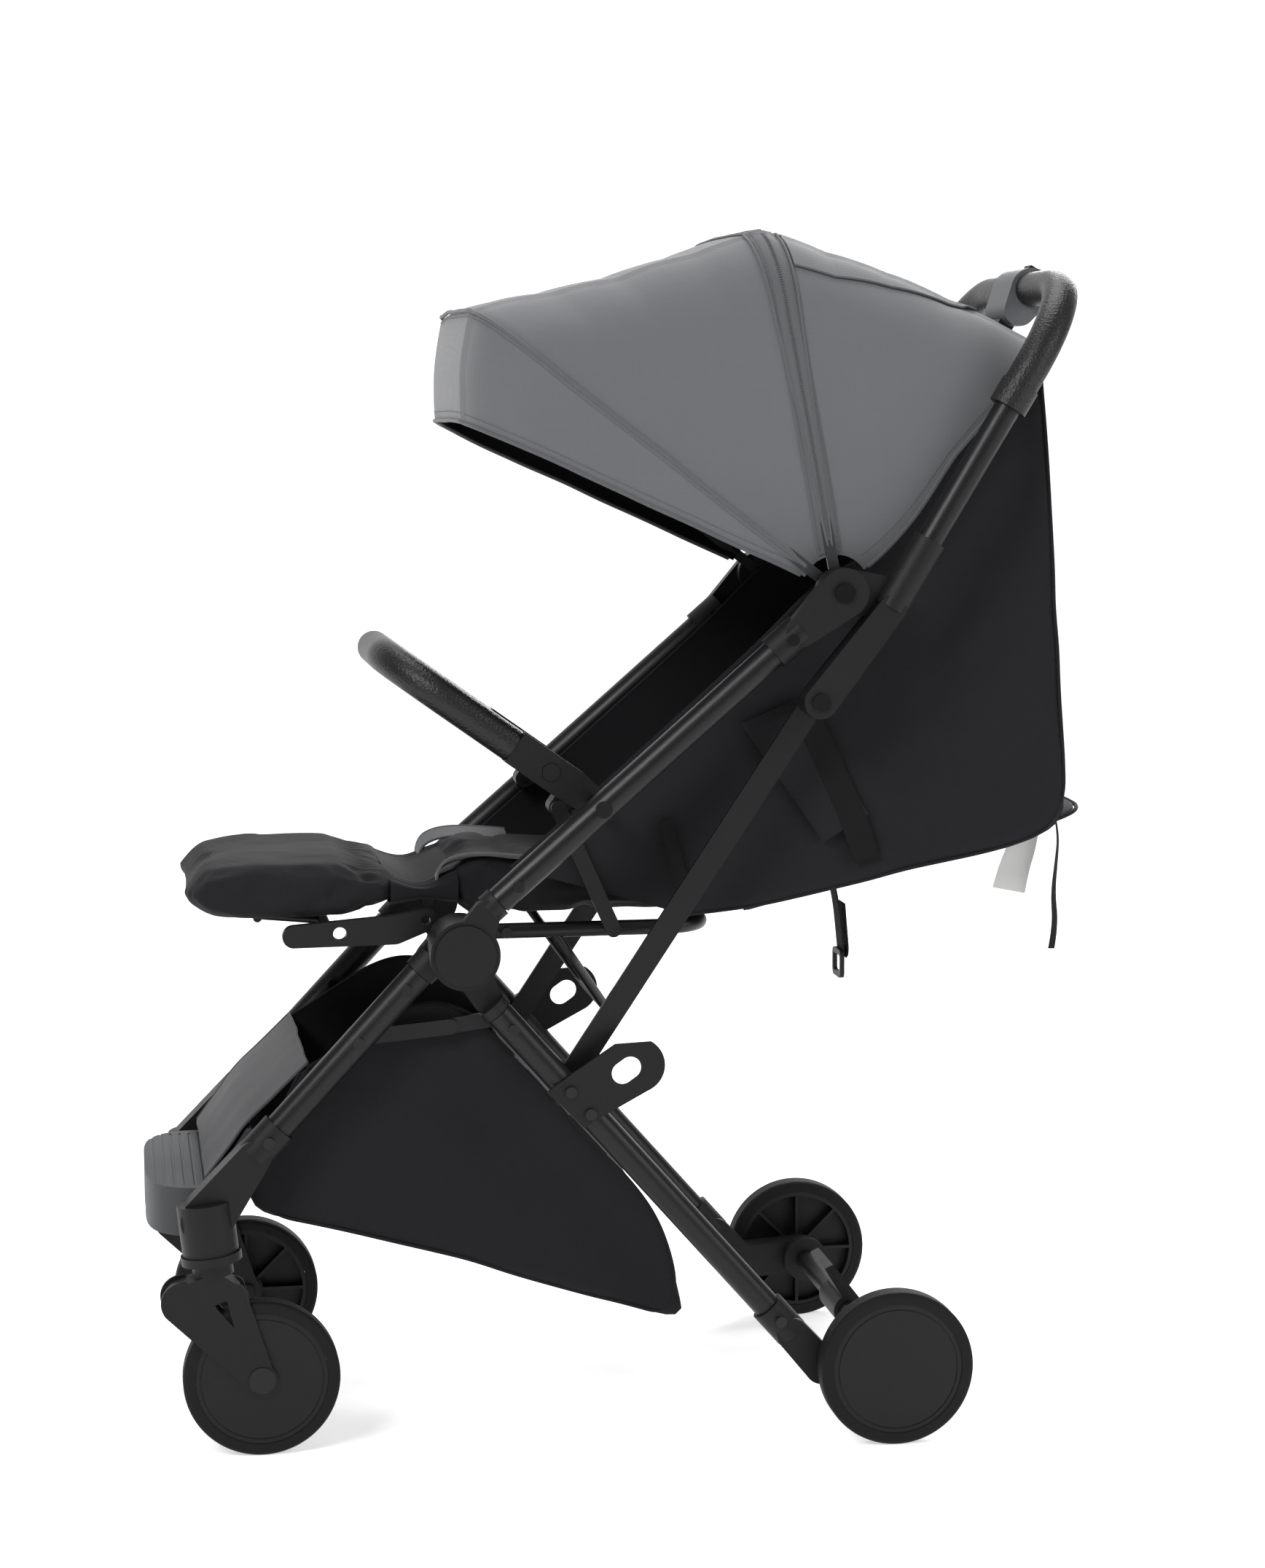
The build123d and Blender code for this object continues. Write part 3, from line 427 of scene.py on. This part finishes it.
def canopyLine(a, lift, offset=0.0, steps=160, t0=0.0, t1=1.0):     # offset is in millimetres along the cloth
    points = []
    for i in range(steps):
        t = t0 + (t1 - t0) * i / (steps - 1)
        base = canopyPoint(a, t, lift) - pivot
        r = max(40.0, math.hypot(base.x, base.z) * 1000)
        points.append(canopyPoint(a + math.degrees(offset / r), t, lift))
    return points


angles = [canopy["front"] + (canopy["rear"] - canopy["front"]) * i / 110 for i in range(111)]
hood = gridSheet("canopyHood", [[canopyPoint(a, j / 159) for j in range(160)] for a in angles],
                 finishes["canopyGrey"])
hood.data.materials.append(finishes["liningBlack"])
mesh = bmesh.new()
mesh.from_mesh(hood.data)
bmesh.ops.recalc_face_normals(mesh, faces=mesh.faces)
top = max(mesh.faces, key=lambda f: f.calc_center_median().z)
if top.normal.z < 0:
    bmesh.ops.reverse_faces(mesh, faces=mesh.faces)
mesh.to_mesh(hood.data)
mesh.free()
modify(hood, "SOLIDIFY", thickness=0.0012, offset=-1.0, material_offset=1, material_offset_rim=0)
bake(hood)
smooth(hood, 60)
hoodParts = []

# angle, lift off the cloth and radius
pipes = {"ridgePiping": (canopy["ridge"], 0.8, 1.9), "rearPiping": (canopy["rear"], 0.4, 2.0),
         "visorHem": (canopy["front"], 0.2, 2.0), "middlePiping": (canopy["middle"] + 2.6, 1.2, 1.3),
         "middlePipingRear": (canopy["middle"] - 2.6, 1.2, 1.3)}
for name, (a, lift, radius) in pipes.items():
    line = canopyLine(a, lift, t0=0.005, t1=0.995)
    hoodParts.append(tubeAlong(name, line, radius * mm, finishes["seamGrey"], 8))
offsets = (-12, -8, -4.5, -2.2, 0, 2.2, 4.5, 8, 12)
lifts = (0.5, 1.6, 1.7, 1.5, 0.8, 1.5, 1.7, 1.6, 0.5)
band = gridSheet("zipBand", [canopyLine(canopy["middle"], lift, off, t0=0.004, t1=0.996)
                             for off, lift in zip(offsets, lifts)], finishes["seamGrey"])
hoodParts.append(band)
for name, off in (("zipTeethFront", -0.9), ("zipTeethRear", 0.9)):
    line = canopyLine(canopy["middle"], 1.4, off, t0=0.02, t1=0.98)
    hoodParts.append(partRow(name, line, (1.1 * mm, 1.5 * mm, 1.1 * mm), 2.3 * mm, finishes["greyPlastic"]))
seams = (("visorStitch", canopy["front"], 0.4, -7), ("ridgeStitch", canopy["ridge"], 0.3, 5),
         ("bandStitchFront", canopy["middle"], 1.9, 9.5), ("bandStitchRear", canopy["middle"], 1.9, -9.5),
         ("rearStitch", canopy["rear"], 0.3, 6))
for name, a, lift, off in seams:
    line = canopyLine(a, lift, off, t0=0.01, t1=0.99)
    hoodParts.append(partRow(name, line, (2.4 * mm, 0.5 * mm, 0.4 * mm), stitchStep, finishes["seamGrey"]))
flapRows = []
for i in range(40):
    f = i / 39
    a = canopy["middle"] - 3.2 - f * 37
    edge = 0.3 + 0.06 * f ** 2
    flapRows.append([canopyPoint(a, edge + (1 - 2 * edge) * j / 59, 1.6) for j in range(60)])
flap = gridSheet("windowFlap", flapRows, finishes["canopyGrey"])
modify(flap, "SOLIDIFY", thickness=0.0012, offset=0)
bake(flap)
smooth(flap, 60)
hoodParts.append(flap)
rim = [row[0] for row in flapRows] + flapRows[-1][1:] + [row[-1] for row in reversed(flapRows[:-1])]
hoodParts.append(tubeAlong("flapPiping", rim, 1.1 * mm, finishes["seamGrey"], 8))
print("canopy made")

# ---- soft pads: swelled by cloth simulation, then seams
swell = {"voxel": 0.005, "quality": 5, "mass": 0.3, "pressure": 4, "frames": 20}


def paddedShape(name, outline, half, material, cap, corner=30):
    # closed form from a side outline, given as (x, z) in millimetres, and a half width
    mesh = bpy.data.meshes.new(name)
    build = bmesh.new()
    loops = []
    for y, pull in ((-half, corner * 0.45), (-half + corner * 0.5, corner * 0.1), (-half + corner, 0), (-half / 3, 0),
                    (half / 3, 0), (half - corner, 0), (half - corner * 0.5, corner * 0.1), (half, corner * 0.45)):
        cx = sum(p[0] for p in outline) / len(outline)
        span = max(p[0] for p in outline) - min(p[0] for p in outline)
        loops.append([build.verts.new(at(cx + (x - cx) * (1 - 2 * pull / span), z, y)) for x, z in outline])
    n = len(outline)
    for a, b in zip(loops, loops[1:]):
        for i in range(n):
            build.faces.new((a[i], a[(i + 1) % n], b[(i + 1) % n], b[i]))
    build.faces.new(loops[0][::-1])
    build.faces.new(loops[-1])
    bmesh.ops.recalc_face_normals(build, faces=build.faces)
    build.to_mesh(mesh)
    build.free()
    obj = bpy.data.objects.new(name, mesh)
    bpy.context.collection.objects.link(obj)
    modify(obj, "REMESH", mode="VOXEL", voxel_size=swell["voxel"])
    bake(obj)
    start = [v.co.copy() for v in obj.data.vertices]
    cloth = modify(obj, "CLOTH")
    cloth.settings.quality = swell["quality"]
    cloth.settings.mass = swell["mass"]
    cloth.settings.use_pressure = True
    cloth.settings.uniform_pressure_force = swell["pressure"]
    cloth.settings.effector_weights.gravity = 0
    for f in range(1, swell["frames"] + 1):
        bpy.context.scene.frame_set(f)
    bake(obj)
    bpy.context.scene.frame_set(1)
    for v, rest in zip(obj.data.vertices, start):
        move = v.co - rest
        if move.length > cap:
            v.co = rest + move * (cap / move.length)
    obj.data.materials.append(material)
    return obj


def crease(obj, height, seed, size=0.05):     # folds of slack cloth
    for v in obj.data.vertices:
        v.co += v.normal * (wrinkle(v.co, size, height, seed) + wrinkle(v.co, size / 2.4, height * 0.45, seed + 7))


def channels(obj, places, depth, width):     # sewn lines across a pad, at these x, pressed in from above and below
    for v in obj.data.vertices:
        for x in places:
            d = (v.co.x - at(x, 0).x) / width
            v.co.z -= v.normal.z * depth * math.exp(-d * d)


def finishPad(obj, body):
    modify(obj, "SUBSURF", levels=1, render_levels=1)
    bake(obj)
    smooth(obj, 80)
    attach(obj, body)
    return obj


calfOutline = ((-630, 499), (-614, 514), (-560, 519), (-480, 517), (-428, 508), (-424, 492), (-470, 484), (-560, 483),
               (-604, 485), (-624, 491))
calf = paddedShape("calfPad", calfOutline, 132, finishes["clothBlack"], 0.007, corner=38)
crease(calf, 0.0022, 4, 0.085)
for v in calf.data.vertices:     # gathered where it meets the seat
    f = max(0.0, 1 - abs(v.co.x - at(-466, 0).x) / 0.02)
    v.co.z -= v.normal.z * f * (0.004 + 0.002 * math.sin(v.co.y * 420))
finishPad(calf, "calf")
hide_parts("calf_pad")

bridge = {"x": (-442, -430, -420, -410, -400, -390, -380), "half": (122, 119, 116, 114, 112, 110, 106),
          "low": (486, 488, 490, 491, 489, 486, 484), "high": (510, 505, 502, 501, 505, 511, 514)}
bridgeRows = []
for x, half, low, high in zip(bridge["x"], bridge["half"], bridge["low"], bridge["high"]):
    ring = []
    for k in range(144):
        a = 2 * math.pi * k / 144
        c, r = math.cos(a), math.sin(a)
        y = half * math.copysign(abs(c) ** 0.16, c)
        z = (low + high) / 2 + (high - low) / 2 * math.copysign(abs(r) ** 0.5, r) + 0.9 * math.sin(y * 0.42)
        ring.append(at(x, z, y))
    bridgeRows.append(ring)
gather = gridSheet("calfGather", bridgeRows, finishes["clothBlack"], closed=True)
modify(gather, "SUBSURF", levels=1, render_levels=1)
bake(gather)
modify(gather, "SOLIDIFY", thickness=0.0012, offset=0)
bake(gather)
smooth(gather, 80)
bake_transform(gather)

seatOutline = ((-392, 498), (-390, 514), (-368, 520), (-300, 516), (-200, 507), (-164, 498), (-162, 480), (-280, 479),
               (-384, 480))
seatPad = paddedShape("seatPad", seatOutline, 106, finishes["clothBlack"], 0.007, corner=24)
channels(seatPad, (-330, -262), 0.004, 0.008)
crease(seatPad, 0.0018, 11)
finishPad(seatPad, "seat")
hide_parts("seat_pad")

back = {"low": (-150, 492), "high": (174, 570), "thick": 26}
slope = math.atan2(back["high"][1] - back["low"][1], back["high"][0] - back["low"][0])


def onBack(s, up):     # along the recline board in millimetres, and above it
    return (back["low"][0] + s * math.cos(slope) - up * math.sin(slope),
            back["low"][1] + s * math.sin(slope) + up * math.cos(slope))


backOutline = [onBack(*p) for p in ((4, 6), (4, 20), (18, 25), (160, 27), (312, 25), (324, 18), (324, 6), (160, 4))]
backPad = paddedShape("backrestPad", backOutline, 102, finishes["clothBlack"], 0.006, corner=24)
channels(backPad, (-70, 10, 90), 0.004, 0.008)
crease(backPad, 0.0016, 17)
finishPad(backPad, "backrest")
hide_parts("backrest_pad")
print("pads made")

# ---- bags: shell behind the seat and the basket, each a lofted sheet that sags


def loft(name, lower, upper, half, corner, columns, material, sag, seed):
    # sheet whose rows run from the left upper line, down the side, across the lower line and up the right side
    rows = []
    n = len(lower)
    for i in range(n):
        row = []
        low, high = lower[i], upper[i]
        wall = (high - low).length
        across = 2 * half * mm
        total = 2 * wall + across
        for j in range(columns):
            d = total * j / (columns - 1)
            side = -1 if d < total / 2 else 1
            e = min(d, total - d)
            if e < wall:
                p = high.lerp(low, e / wall) if wall > 1e-6 else low.copy()
                y, depth = half * mm, math.sin(math.pi * e / wall) if wall > 1e-6 else 0
                fold = wrinkle(p, 0.09, 0.005, seed) + wrinkle(p, 0.035, 0.002, seed + 5)
                y += depth * (fold - sag * 0.35 * mm)
            else:
                p, y = low.copy(), half * mm - (e - wall)
                f = (e - wall) / (across / 2)
                p = p + Vector((0, 0, -1)) * (math.sin(math.pi * min(1, f) / 2) * sag * mm * 0.4)
            near = min(1.0, abs(e - wall) / (corner * mm))     # rounds the fold between side and bottom
            y -= (1 - near) ** 2 * corner * mm * 0.25
            row.append(Vector((p.x, side * y, p.z)))
        rows.append(row)
    obj = gridSheet(name, rows, material)
    mesh = bmesh.new()
    mesh.from_mesh(obj.data)
    bmesh.ops.recalc_face_normals(mesh, faces=mesh.faces)
    mesh.to_mesh(obj.data)
    mesh.free()
    return obj, rows


def outward(obj):     # turns the sheet so that its lowest face looks down
    low = min(obj.data.polygons, key=lambda p: p.center.z)
    if low.normal.z > 0:
        obj.data.flip_normals()


def sideLine(places):     # smooth line on the middle plane through these (x, z)
    return curvePoints([at(*p) for p in places], 90)


shellLow = sideLine(((-176, 473), (-133, 475), (-75, 486), (-10, 500), (83, 519), (150, 534), (176, 548), (179, 575),
                     (176, 632), (168, 740), (163, 822), (158, 890), (152, 962)))
shellHigh = sideLine(((-335, 520), (-300, 550), (-250, 594), (-200, 638), (-150, 682), (-100, 727), (-66, 762),
                      (-35, 786), (0, 802), (32, 826), (75, 890), (118, 955), (150, 965)))
shell, shellRows = loft("seatShell", shellLow, shellHigh, 134, 14, 120, finishes["clothBlack"], 9, 23)
outward(shell)
modify(shell, "SOLIDIFY", thickness=0.0016, offset=-1.0)
bake(shell)
smooth(shell, 70)
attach(shell, "seat")
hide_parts("seat_shell")
shellParts = []
columns = len(shellRows[0])
cornerColumn = []
for row, low, high in zip(shellRows, shellLow, shellHigh):
    wall = (high - low).length
    d = wall / (2 * wall + 0.268) * (columns - 1)
    cornerColumn.append(int(round(d)))
for name, flip in (("left", False), ("right", True)):
    seam = [row[columns - 1 - k if flip else k] + Vector((0, (0.0012 if flip else -0.0012), 0))
            for row, k in zip(shellRows, cornerColumn)]
    line = curvePoints(seam[::4] + [seam[-1]], 150)
    shellParts.append(tubeAlong(name + "ShellPiping", line, 1.7 * mm, finishes["clothBlack"], 8))
    edge = [row[-1 if flip else 0] for row in shellRows]
    shellParts.append(tubeAlong(name + "ShellHem", edge, 2.0 * mm, finishes["clothBlack"], 8))

trayLine = [(-120, 118), (0, 126), (100, 131), (158, 131), (190, 118), (203, 92), (206, 50), (206, 0)]
trayHalf = [(x, -y) for x, y in trayLine]
trayEdge = curvePoints([Vector((x, y, 0)) for x, y in trayHalf + trayLine[-2::-1]], 140)


def trayPlace(x, y, up):
    f = (x + 133) / (204 + 133)
    return at(x, 471 + f * 88 + up, y)


def trayMesh(name, up, thick, inset, mat):
    verts, faces = [], []
    rings = ((up, inset + 4), (up + 1.5, inset), (up + thick - 1.5, inset), (up + thick, inset + 4))
    for lift, off in rings:
        for p in trayEdge:
            c = Vector((40, 0, 0))
            d = (p - c)
            q = c + d * (1 - off / d.length)
            verts.append(trayPlace(q.x, q.y, lift))
    n = len(trayEdge)
    for k in range(len(rings) - 1):
        for i in range(n - 1):
            faces.append((k * n + i, k * n + i + 1, (k + 1) * n + i + 1, (k + 1) * n + i))
        faces.append((k * n + n - 1, k * n, (k + 1) * n, (k + 1) * n + n - 1))
    faces.append(tuple(range(n))[::-1])
    faces.append(tuple(range(3 * n, 4 * n)))
    obj = addMesh(name, verts, faces, mat)
    mesh = bmesh.new()
    mesh.from_mesh(obj.data)
    bmesh.ops.recalc_face_normals(mesh, faces=mesh.faces)
    mesh.to_mesh(obj.data)
    mesh.free()
    smooth(obj, 50)
    return obj


shellParts.append(trayMesh("backTray", -3, 7, 3, finishes["clothBlack"]))
shellParts.append(tubeAlong("trayPiping", [trayPlace(p.x, p.y, 0.5) for p in trayEdge], 2.0 * mm,
                            finishes["clothBlack"], 8))
print("shell made")

# ---- basket
basketLow = sideLine(((-527, 338), (-552, 290), (-574, 240), (-570, 214), (-530, 203), (-482, 192), (-408, 170),
                      (-300, 134), (-204, 103), (-186, 99), (-179, 101), (-179, 110), (-195, 185), (-228, 232),
                      (-262, 264), (-300, 310), (-332, 344)))
basketHigh = sideLine(((-520, 343), (-510, 348), (-495, 358), (-470, 374), (-440, 392), (-410, 400), (-380, 394),
                       (-352, 368), (-334, 348)))
basket, basketRows = loft("basketBag", basketLow, basketHigh, 130, 14, 110, finishes["clothBlack"], 7, 41)
outward(basket)
modify(basket, "SOLIDIFY", thickness=0.0016, offset=-1.0)
bake(basket)
smooth(basket, 70)
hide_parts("basket")
basketParts = []
n = len(basketRows[0])
for name, flip in (("left", False), ("right", True)):
    seam = []
    for row, low, high in zip(basketRows, basketLow, basketHigh):
        wall = (high - low).length
        k = int(round(wall / (2 * wall + 0.26) * (n - 1)))
        seam.append(row[n - 1 - k if flip else k] + Vector((0, 0.001 if flip else -0.001, 0)))
    basketParts.append(tubeAlong(name + "BasketPiping", curvePoints(seam[::4] + [seam[-1]], 140), 1.6 * mm,
                                 finishes["clothBlack"], 8))
    basketParts.append(tubeAlong(name + "BasketHem", [row[-1 if flip else 0] for row in basketRows], 2.2 * mm,
                                 finishes["webbing"], 8))
frontLine = curvePoints([at(*p) for p in ((-520, 347), (-546, 322), (-575, 297), (-592, 272), (-611, 246))], 30)
frontRows = []
for i, p in enumerate(frontLine):
    bulge = math.sin(math.pi * i / 29) * 3
    frontRows.append([p + Vector((-bulge * (1 - (y / 127) ** 2) * mm, y * mm, 0))
                      + Vector((1, 0, 0)) * wrinkle(p + Vector((0, y * mm, 0)), 0.05, 0.002, 61)
                      for y in range(-127, 128, 6)])
front = gridSheet("basketFront", frontRows, finishes["panelGrey"])
modify(front, "SOLIDIFY", thickness=0.0010, offset=0)
bake(front)
smooth(front, 70)
basketParts.append(front)
basketParts.append(tubeAlong("basketFrontPiping", frontRows[0], 1.5 * mm, finishes["panelGrey"], 8))
for name, side in (("left", 0), ("right", -1)):
    basketParts.append(tubeAlong(name + "FrontPiping", [row[side] for row in frontRows], 1.5 * mm,
                                 finishes["panelGrey"], 8))
for piece in [basket] + basketParts:
    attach(piece, "front_frame")
    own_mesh(piece)
print("basket made")


# ---- straps, tape and label
def ribbon(name, points, width, thick, mat, body, across=Vector((0, 1, 0)), twist=0.0):
    rows = []
    for i, p in enumerate(points):
        ahead = (points[min(i + 1, len(points) - 1)] - points[max(i - 1, 0)]).normalized()
        side = (across - ahead * across.dot(ahead)).normalized()
        side = Matrix.Rotation(twist * i / len(points), 3, ahead) @ side
        rows.append([p + side * (width * mm * (k / 6 - 0.5)) for k in range(7)])
    obj = gridSheet(name, rows, mat)
    length = sum((b - a).length for a, b in zip(points, points[1:]))
    modify(obj, "SOLIDIFY", thickness=thick * mm, offset=0)
    bake(obj)
    smooth(obj, 60)
    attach(obj, body)
    return obj, (width * mm, length)


straps = {
    "adjusterStrap": {"line": ((-34, 497), (-30, 480), (-27, 455), (-25, 432), (-23, 424), (-20, 430), (-22, 452),
                               (-24, 476)),
                      "y": -100, "width": 25, "thick": 1.4, "across": (0, 1, 0), "twist": 0.0, "held": "hung"},
    "hangingTape": {"line": ((176, 553), (180, 535), (178, 510), (175, 480), (178, 450), (174, 428)),
                    "y": -108, "width": 11, "thick": 0.8, "across": (0.35, 1, 0), "twist": 0.5, "held": "hung"},
    "sideWeb": {"line": ((-70, 662), (-52, 625), (-34, 585), (-18, 548), (-10, 520)),
                "y": -138.5, "width": 24, "thick": 1.2, "across": (0.86, 0, 0.5), "twist": 0.0, "held": "stretched"},
    "recline": {"line": ((-196, 560), (-190, 540), (-184, 515), (-176, 490)),
                "y": -139.0, "width": 12, "thick": 1.0, "across": (1, 0, 0.1), "twist": 0.0, "held": "stretched"},
}
for name, v in straps.items():
    points = curvePoints([at(x, z, v["y"]) for x, z in v["line"]], 50)
    obj, flat = ribbon(name, points, v["width"], v["thick"], finishes["webbing"], "seat",
                       Vector(v["across"]).normalized(), v["twist"])
    shellParts.append(obj)
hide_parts("adjuster_strap")
labelLine = curvePoints([at(x, z, -96) for x, z in ((152, 541), (148, 522), (140, 500), (136, 482))], 24)
label, flat = ribbon("blankLabel", labelLine, 34, 0.4, finishes["whiteTag"], "seat",
                     Vector((0.9, 0.42, 0.25)).normalized(), 0.3)
shellParts.append(label)
patchRows = []
corners = [at(-126, 646, -138.2), at(-74, 668, -138.2), at(-8, 562, -138.2), at(-50, 537, -138.2)]
for i in range(12):
    f = i / 11
    a, b = corners[0].lerp(corners[3], f), corners[1].lerp(corners[2], f)
    patchRows.append([a.lerp(b, j / 9) for j in range(10)])
patch = gridSheet("sidePatch", patchRows, finishes["clothBlack"])
modify(patch, "SOLIDIFY", thickness=0.001, offset=0)
bake(patch)
shellParts.append(patch)
shellParts.append(partRow("patchStitch", curvePoints([corners[0], corners[3], corners[2], corners[1]], 60, 2),
                          (2.4 * mm, 0.5 * mm, 0.8 * mm), stitchStep, finishes["webbing"]))
band = curvePoints([at(*p) for p in ((-399, 494, -90), (-400, 514, -90), (-380, 526, -90), (-345, 526, -91),
                                     (-312, 522, -94))], 50)
for name, s in sides:
    line = [Vector((p.x, p.y * -s, p.z)) for p in band]
    edge, flat = ribbon(name + "SeatBand", line, 24, 1.4, finishes["canopyGrey"], "seat",
                        Vector((0, 1, 0.3 * s)).normalized())
    for off in (-11.5, 11.5):
        edgeLine = [p + Vector((0, off, off * 0.3 * s)) * mm for p in line]
        tubeEdge = tubeAlong(f"{name}SeatBandPiping{'A' if off < 0 else 'B'}", edgeLine, 1.3 * mm,
                             finishes["seamGrey"], 8)
        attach(tubeEdge, "seat")
for piece in [shell] + shellParts:
    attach(piece, "seat")
    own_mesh(piece)
print("straps made")

for piece in hoodParts + [hood]:
    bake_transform(piece)
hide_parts("canopy_cloth")
